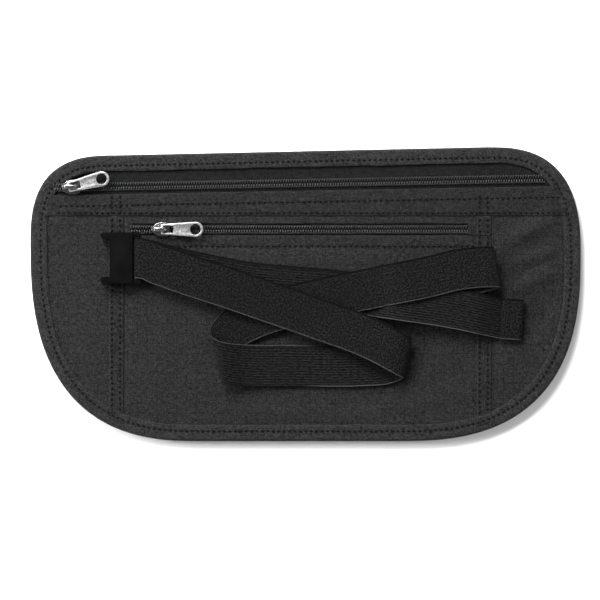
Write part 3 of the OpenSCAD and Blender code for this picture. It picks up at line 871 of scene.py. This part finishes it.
def node_group(name, numbers, outputs):
    """A group with a vector, numbers with their defaults and named outputs, and short calls to fill it."""
    group = bpy.data.node_groups.new(name, "ShaderNodeTree")
    group.interface.new_socket("Vector", in_out="INPUT", socket_type="NodeSocketVector")
    for title, default in numbers.items():
        socket = group.interface.new_socket(title, in_out="INPUT", socket_type="NodeSocketFloat")
        socket.default_value = default
    for title in outputs:
        group.interface.new_socket(title, in_out="OUTPUT", socket_type="NodeSocketFloat")
    nodes = Nodes(group)
    return group, nodes, nodes.add("NodeGroupInput").outputs, nodes.add("NodeGroupOutput")


def build_weave():
    """Plain weave: the product of two sines is one crossing of warp and weft; noise makes threads uneven."""
    numbers = {"Threads per metre": 2000.0, "Unevenness": 0.3}
    group, n, given, out = node_group("weave", numbers, ["Height", "Shade"])
    x, y, z = n.split(given["Vector"])
    turns = n.mul(given["Threads per metre"], math.pi)
    warp = n.math("SINE", n.mul(x, turns))
    weft = n.math("SINE", n.mul(n.plus(y, z), turns))
    crossing = n.mul(warp, weft)
    slub = n.noise(given["Vector"], n.mul(given["Threads per metre"], 0.45), 2.0, 0.6)
    uneven = n.mul(n.minus(slub, 0.5), given["Unevenness"])
    height = n.plus(n.mad(crossing, 0.5, 0.5), uneven)
    n.put(out, "Height", height)
    n.put(out, "Shade", n.plus(n.mad(crossing, 0.16, 1.0), n.mul(uneven, 1.6)))
    return group


def build_ripstop():
    """Square grid of thicker threads: where the cosine along either axis is near its top, there is a line."""
    group, n, given, out = node_group("ripstop_grid", {"Cell": 0.005}, ["Line", "Knot"])
    x, y, _ = n.split(given["Vector"])
    turns = n.math("DIVIDE", 2 * math.pi, given["Cell"])
    across = n.math("COSINE", n.mul(x, turns))
    down = n.math("COSINE", n.mul(y, turns))
    n.put(out, "Line", n.ramp(n.math("MAXIMUM", across, down), 0.90, 0.985))
    n.put(out, "Knot", n.ramp(n.math("MINIMUM", across, down), 0.90, 0.985))
    return group


def build_twill():
    """Diagonal ribs: the sine of distance across a slanted direction."""
    group, n, given, out = node_group("twill", {"Ribs per metre": 1100.0}, ["Height"])
    x, y, _ = n.split(given["Vector"])
    slant = n.plus(x, n.mul(y, 0.8))
    turns = n.mul(given["Ribs per metre"], 2 * math.pi)
    n.put(out, "Height", n.mad(n.math("SINE", n.mul(slant, turns)), 0.5, 0.5))
    return group


def build_fade():
    """Dye and dust: slow noise and a finer one, as a factor about 1, and a pale mask for lint."""
    group, n, given, out = node_group("fade", {"Scale": 18.0, "Amount": 0.3}, ["Factor", "Lint"])
    slow = n.noise(given["Vector"], given["Scale"], 3.0, 0.5)
    fine = n.noise(given["Vector"], n.mul(given["Scale"], 38.0), 2.0, 0.6)
    both = n.plus(n.minus(slow, 0.5), n.mul(n.minus(fine, 0.5), 0.9))
    n.put(out, "Factor", n.mad(both, given["Amount"], 1.0))
    n.put(out, "Lint", n.ramp(n.noise(given["Vector"], 1500.0, 1.0, 0.5), 0.74, 0.80))
    return group


def build_slub():
    """Heathered yarn: noise stretched along the warp and along the weft, as a factor about 1."""
    group, n, given, out = node_group("heathered_yarn", {"Thread": 0.0007, "Amount": 1.0}, ["Factor"])
    fine = n.math("DIVIDE", 1.0, given["Thread"])
    total = None
    for factors in ((1.0, 0.28, 1.0), (0.28, 1.0, 1.0), (1.3, 1.3, 1.3)):
        speck = n.minus(n.noise(n.stretch(given["Vector"], factors), fine, 2.0, 0.6), 0.5)
        total = speck if total is None else n.plus(total, speck)
    n.put(out, "Factor", n.mad(total, given["Amount"], 1.0))
    return group


WEAVE, RIPSTOP, TWILL, FADE, SLUB = build_weave(), build_ripstop(), build_twill(), build_fade(), build_slub()


def material(name, roughness, metallic=0.0, sheen=0.0, specular=0.5):
    """A material with its Principled shader and its object coordinates, ready for a pattern."""
    made = bpy.data.materials.new(name)
    made.use_nodes = True
    n = Nodes(made.node_tree)
    shader = made.node_tree.nodes["Principled BSDF"]
    for title, value in (("Roughness", roughness), ("Metallic", metallic), ("Sheen Weight", sheen),
                         ("Sheen Roughness", 0.5), ("Specular IOR Level", specular)):
        shader.inputs[title].default_value = value
    return made, n, shader, n.add("ShaderNodeTexCoord").outputs["Object"]


def use(n, group, vector, **values):
    """A group placed in a material with its own values; returns its outputs."""
    node = n.add("ShaderNodeGroup", node_tree=group)
    n.put(node, "Vector", vector)
    for title, value in values.items():
        n.put(node, title.replace("_", " "), value)
    return node.outputs


def cloth_material(name, colour, threads=1500.0, grid=0.0, fade=0.22):
    """Woven cloth: weave and fading on the colour, and the weave and ripstop lines in relief."""
    made, n, shader, at = material(name, 0.92, sheen=0.02, specular=0.10)
    weave = use(n, WEAVE, at, Threads_per_metre=threads, Unevenness=0.8)
    worn = use(n, FADE, at, Scale=22.0, Amount=fade)
    slubs = use(n, SLUB, at, Thread=0.00055, Amount=2.5)
    shade = n.mul(n.mul(weave["Shade"], worn["Factor"]), slubs["Factor"])
    height = n.plus(weave["Height"], slubs["Factor"])
    if grid:
        lines = use(n, RIPSTOP, at, Cell=0.00485)
        shade = n.mad(lines["Line"], -0.30 * grid, shade)
        shade = n.mad(lines["Knot"], 0.80 * grid, shade)
        height = n.mad(lines["Line"], 0.35 * grid, height)
    shade = n.mad(worn["Lint"], 0.4, shade)
    n.put(shader, "Base Color", n.tint(colour, shade))
    n.put(shader, "Normal", n.bump(height, 0.00012))
    return made


def make_materials():
    """Every finish of the pouch, by the name of its slot or part."""
    finishes = {
        "ripstop": cloth_material("ripstop_cloth", (0.0116, 0.0117, 0.0121), 1500.0, grid=1.0),
        "band": cloth_material("band_cloth", (0.0108, 0.0109, 0.0113), 1500.0, grid=0.5),
        "lining": cloth_material("lining_cloth", (0.009, 0.009, 0.0095), 1800.0),
        "loop_cloth": cloth_material("loop_cloth", (0.010, 0.010, 0.0105), 1100.0),
        "zip_tape": cloth_material("zip_tape_weave", (0.0052, 0.0052, 0.0056), 1300.0, fade=0.2),
    }
    made, n, shader, at = material("edge_tape_twill", 0.92, sheen=0.02, specular=0.10)
    twill = use(n, TWILL, at, Ribs_per_metre=520.0)
    worn = use(n, FADE, at, Scale=30.0, Amount=0.30)
    slubs = use(n, SLUB, at, Thread=0.0006, Amount=2.4)
    shade = n.mul(n.mad(twill["Height"], 0.24, 0.88), worn["Factor"])
    n.put(shader, "Base Color", n.tint((0.0158, 0.0158, 0.0163), n.mul(shade, slubs["Factor"])))
    n.put(shader, "Normal", n.bump(n.mad(twill["Height"], 0.5, slubs["Factor"]), 0.00022))
    finishes["edge_tape"] = made

    for name, colour in (("thread", (0.0022, 0.0022, 0.0024)), ("grey_thread", (0.0085, 0.0085, 0.009))):
        made, n, shader, at = material(name, 0.8, sheen=0.01, specular=0.10)
        grain = n.noise(at, 2600.0, 2.0)
        n.put(shader, "Base Color", n.tint(colour, n.ramp(grain, 0.2, 0.8, 0.7, 1.25)))
        n.put(shader, "Normal", n.bump(grain, 0.00005))
        finishes[name] = made

    made, n, shader, at = material("coil_nylon", 0.34, specular=0.55)
    grain = n.noise(at, 420.0, 2.0)
    n.put(shader, "Base Color", n.tint((0.0080, 0.0080, 0.0088), n.ramp(grain, 0.2, 0.8, 0.8, 1.2)))
    n.put(shader, "Roughness", n.ramp(grain, 0.2, 0.8, 0.28, 0.44))
    finishes["zip_coil"] = made

    # The slider bodies' plate is about half as bright as the crowns' and tabs': painted shade under the pull tab,
    # on the same nickel.
    for name, tone, rough in (("nickel", 0.50, 0.38), ("crown_nickel", 0.50, 0.2),
                              ("body_nickel_painted_shade", 0.26, 0.22)):
        made, n, shader, at = material(name + "_plate", rough, metallic=1.0)
        cloudy = n.noise(at, 260.0, 4.0, 0.6)
        speck = n.noise(at, 2600.0, 2.0, 0.6)
        mottle = n.noise(at, 1100.0, 2.0, 0.6)
        n.put(shader, "Base Color", n.tint((tone, tone, tone * 1.01), n.ramp(mottle, 0.35, 0.62, 0.5, 1.05)))
        grain = n.mad(speck, 0.4, cloudy)
        n.put(shader, "Roughness", n.ramp(grain, 0.4, 1.0, rough - 0.06, rough + 0.10))
        n.put(shader, "Normal", n.bump(n.mad(cloudy, 6.0, speck), 0.00005))
        finishes[name] = made

    made, n, shader, at = material("buckle_acetal", 0.36, specular=0.03)
    grain, cloudy = n.noise(at, 3200.0, 2.0, 0.6), n.noise(at, 120.0, 3.0)
    n.put(shader, "Base Color", n.tint((0.0024, 0.0024, 0.0026), n.ramp(cloudy, 0.25, 0.75, 0.75, 1.3)))
    n.put(shader, "Roughness", n.ramp(cloudy, 0.25, 0.75, 0.30, 0.44))
    n.put(shader, "Normal", n.bump(grain, 0.00004))
    finishes["buckle_plastic"] = made

    finishes["elastic"] = elastic_material()
    return finishes


def elastic_material():
    """Woven elastic on the strap's own UVs: u along it, v across it, moved on by 0.1 m on the ribbed face."""
    made, n, shader, at = material("woven_elastic", 0.85, sheen=0.01, specular=0.08)
    strap_uv = at.node.outputs["UV"]
    u, v, _ = n.split(strap_uv)
    ribbed = n.math("GREATER_THAN", v, 0.05)
    across = n.minus(v, n.mul(ribbed, 0.1))
    turns = 2 * math.pi
    pick = n.math("SINE", n.mul(u, turns / 0.00095))
    wale = n.math("COSINE", n.mul(across, turns / 0.00125))
    knit = n.mad(n.mul(pick, wale), 0.5, 0.5)
    plait = n.math("SINE", n.mul(n.plus(u, n.mul(across, 0.55)), turns / 0.0013))
    worm = n.noise(strap_uv, 1150.0, 2.0, 0.6)
    smooth_face = n.mad(plait, 0.16, n.ramp(worm, 0.42, 0.58, -0.25, 1.25))
    broken = n.ramp(n.noise(n.stretch(strap_uv, (0.42, 1.0, 1.0)), 1300.0, 2.0, 0.6), 0.41, 0.59, -0.35, 0.75)
    ribs = n.plus(n.mad(wale, 0.46, 0.25), n.plus(n.mul(knit, 0.25), broken))
    height = n.plus(n.mul(ribs, ribbed),
                    n.mul(smooth_face, n.minus(1.0, ribbed)))
    worn = use(n, FADE, at, Scale=35.0, Amount=0.45)
    # Painted highlight: a band ten times lighter along one edge of the strap. It runs on the lower (-v) edge
    # outside the left loop and on the upper (+v) edge inside it, where that edge catches the light.
    lower_edge = n.ramp(n.mul(across, -1.0), 0.0093, 0.0097)
    in_loop = n.mul(*[n.ramp(u, end, end + inwards) for end, inwards in zip(LOOP_SPAN, (0.012, -0.012))])
    outside = n.mul(lower_edge, n.minus(1.0, in_loop))
    painted_edge_highlight = n.mad(n.ramp(across, 0.0094, 0.0098), in_loop, outside)
    shade = n.mul(n.mad(height, 1.55, 0.20), worn["Factor"])
    # Painted shade: the colour falls to a twentieth in a thin line along the strap's upper (+v) edge, over the
    # groove.
    shade = n.mul(n.ramp(across, 0.0084, 0.0091, 1.0, 0.05), shade)
    shade = n.mad(painted_edge_highlight, 10.0, shade)
    n.put(shader, "Base Color", n.tint((0.0036, 0.0036, 0.0038), shade))
    n.put(shader, "Roughness", n.ramp(height, 0.0, 1.0, 0.86, 0.70))
    n.put(shader, "Normal", n.bump(height, 0.00022))
    return made


# ---------------------------------------------------------------- camera, light and floor

VIEW_MIDDLE = (-2.7, -2.9)
VIEW_WIDTH = 294.0
CAMERA_HEIGHT = 1500.0


def make_camera():
    """A long lens straight above: focal length = sensor width times distance over the width in view."""
    camera = bpy.data.cameras.new("camera")
    camera.sensor_width = 36.0
    camera.lens = 36.0 * (CAMERA_HEIGHT - FRONT_Z) / VIEW_WIDTH
    camera.clip_end = 20
    stand = bpy.data.objects.new("camera", camera)
    stand.location = (VIEW_MIDDLE[0] * MM, VIEW_MIDDLE[1] * MM, CAMERA_HEIGHT * MM)
    bpy.context.collection.objects.link(stand)
    bpy.context.scene.camera = stand


def make_light(name, location, size, power):
    """A square soft box that faces the pouch's middle."""
    lamp = bpy.data.lights.new(name, "AREA")
    lamp.shape = "SQUARE"
    lamp.size = size
    lamp.energy = power
    holder = bpy.data.objects.new(name, lamp)
    holder.location = location
    holder.rotation_euler = (-Vector(location)).to_track_quat("-Z", "Y").to_euler()
    bpy.context.collection.objects.link(holder)


def make_studio():
    """Pale floor, surroundings that darken upwards, a large soft box behind, and weaker ones at the sides."""
    corners = [[-3000, -3000, -0.05], [3000, -3000, -0.05], [3000, 3000, -0.05], [-3000, 3000, -0.05]]
    floor = make_object("floor", corners, [[0, 1, 2, 3]])
    made, n, shader, at = material("pale_floor", 0.9, specular=0.1)
    grain = n.noise(at, 3.0, 2.0)
    n.put(shader, "Base Color", n.tint((0.93, 0.93, 0.93), n.ramp(grain, 0.3, 0.7, 0.99, 1.0)))
    floor.data.materials.append(made)
    world = bpy.data.worlds.new("surroundings")
    bpy.context.scene.world = world
    world.use_nodes = True
    n = Nodes(world.node_tree)
    height = n.split(n.add("ShaderNodeTexCoord").outputs["Generated"])[2]
    back = world.node_tree.nodes["Background"]
    back.inputs["Color"].default_value = (1, 1, 1, 1)
    n.put(back, "Strength", n.ramp(height, 0.35, 0.95, 1.0, 0.12))
    make_light("soft_box_top", (-0.5, 1.15, 1.05), 0.8, 66)
    make_light("soft_box_left", (-1.2, 0.35, 0.75), 0.6, 26)
    make_light("soft_box_right", (1.3, 0.1, 0.6), 0.3, 3)
    bpy.context.scene.view_settings.view_transform = "Standard"
    bpy.context.scene.view_settings.look = "None"


# ---------------------------------------------------------------- putting it together

FINISHES = make_materials()


def finish_piece(piece, body, finish, slot, *nodes):
    """Gives a piece its material and its body, and hides the CAD nodes that it stands for; the slot is not used.
    """
    piece.data.materials.clear()
    piece.data.materials.append(FINISHES[finish])
    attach(piece, body)
    if nodes:
        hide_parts(*nodes)
    return piece


def add_cloth():
    """Panels, band, lining, back, edge tape and belt loops."""
    low, high = box_mm("pocket_lining")
    tape, strip = ["edge_tape"], ["zip_strip_cloth"]
    # Each panel: piece, finish, CAD node, flat size, how it is held, what it rests on, area
    panels = [
        (make_left_panel(), "ripstop", "front_panel_left", (0.045, 0.124), "stretched", tape, 0.0050),
        (make_centre_panel(), "ripstop", "front_panel_centre", (0.180, 0.100), "stretched", tape, 0.0176),
        (make_right_panel(), "ripstop", "front_panel_right", (0.050, 0.124), "stretched", tape, 0.0052),
        (make_strip(), "ripstop", "front_strip", (0.018, 0.180), "stretched", ["top_tape_lower"], None),
        (make_band(), "band", "top_band", (0.014, 0.258), "folded", strip, None),
        (make_flat_cloth("back_cloth", UNDER, BACK_Z - 0.05, 0.18), "ripstop", "back_panel",
         (0.138, 0.264), "stretched", tape, 0.0325),
        (make_flat_cloth("lining_cloth", UNDER, low[2], 0.1, low[0], high[0], high[1]), "lining", "pocket_lining",
         (0.110, 0.188), "hung", ["zip_band_cloth"], 0.0196),
    ]
    for piece, finish, node, *_ in panels:
        finish_piece(piece, "pouch", finish, "ripstop", node)
    finish_piece(make_edge_tape(), "pouch", "edge_tape", "edge_tape", "edge_binding")
    for name, node in (("left_belt_loop", "belt_loop_left"), ("right_belt_loop", "belt_loop_right")):
        loop = finish_piece(make_belt_loop(name, node), "pouch", "loop_cloth", "loop_cloth", node)


def add_stitching():
    """Every row of thread, each set riding on the piece that it is sewn through."""
    for rows, slot in ((make_edge_stitching(), "edge_tape"), (make_band_stitching(), "ripstop"),
                       (make_seam_stitching(), "ripstop"), (make_zip_stitching(), "ripstop"),
                       (make_loop_stitching(), "loop_cloth")):
        finish_piece(rows, "pouch", "thread", slot)
    finish_piece(make_hem_stitching(), "belt", "grey_thread", "elastic")


def add_zips():
    """Tapes, coils and their sewing for both zips."""
    reach = {True: (5.5 - HALF_W, HALF_W - 6.5), False: (FRONT_ZIP_X0 - 3, FRONT_ZIP_X1 + 3)}
    for label, tilt in (("top", True), ("front", False)):
        tape_x0, tape_x1 = reach[tilt]
        coil_x0 = COIL_LOW[0] - 1.5 if tilt else FRONT_ZIP_X0 - 1
        coil_x1 = COIL_HIGH[0] + 1.0 if tilt else FRONT_ZIP_X1 + 1
        for side, where in ((1, "upper"), (-1, "lower")):
            tape = make_zip_tape(f"{label}_tape_{where}", side, tilt, tape_x0, tape_x1)
            finish_piece(tape, "pouch", "zip_tape", "zip_tape", f"{label}_zip_tape_{where}")
            coil = make_coil(f"{label}_coil_row_{where}", side, tilt, coil_x0, coil_x1)
            finish_piece(coil, "pouch", "zip_coil", "zip_coil", f"{label}_coil_{where}")
        sewing = make_zip_cord(f"{label}_coil_sewing", tilt, coil_x0, coil_x1)
        finish_piece(sewing, "pouch", "thread", "zip_coil")


def add_hardware():
    """Sliders, crowns, pull tabs and buckle halves, each a rounded-over copy of its CAD node."""
    for zip_name in ("top", "front"):
        for part, body, width, finish in (("slider_body", "slider", 0.28, "body_nickel_painted_shade"),
                                          ("slider_crown", "slider", 0.26, "crown_nickel"),
                                          ("pull_tab", "tab", 0.30, "nickel")):
            node = f"{zip_name}_{part}"
            finish_piece(refined(node, width), f"{zip_name}_{body}", finish, "nickel", node)
    for node, width, segments, body in (("buckle_socket", 0.55, 4, "socket"),
                                        ("buckle_plug", 0.45, 3, "belt")):
        finish_piece(refined(node, width, segments), body, "buckle_plastic", "buckle_plastic", node)


def add_strap():
    """The elastic strap, one length of webbing that lies in four runs."""
    strap = make_strap()
    finish_piece(strap, "belt", "elastic", "elastic", "elastic_strap")


make_camera()
make_studio()
add_cloth()
add_stitching()
add_zips()
add_hardware()
add_strap()
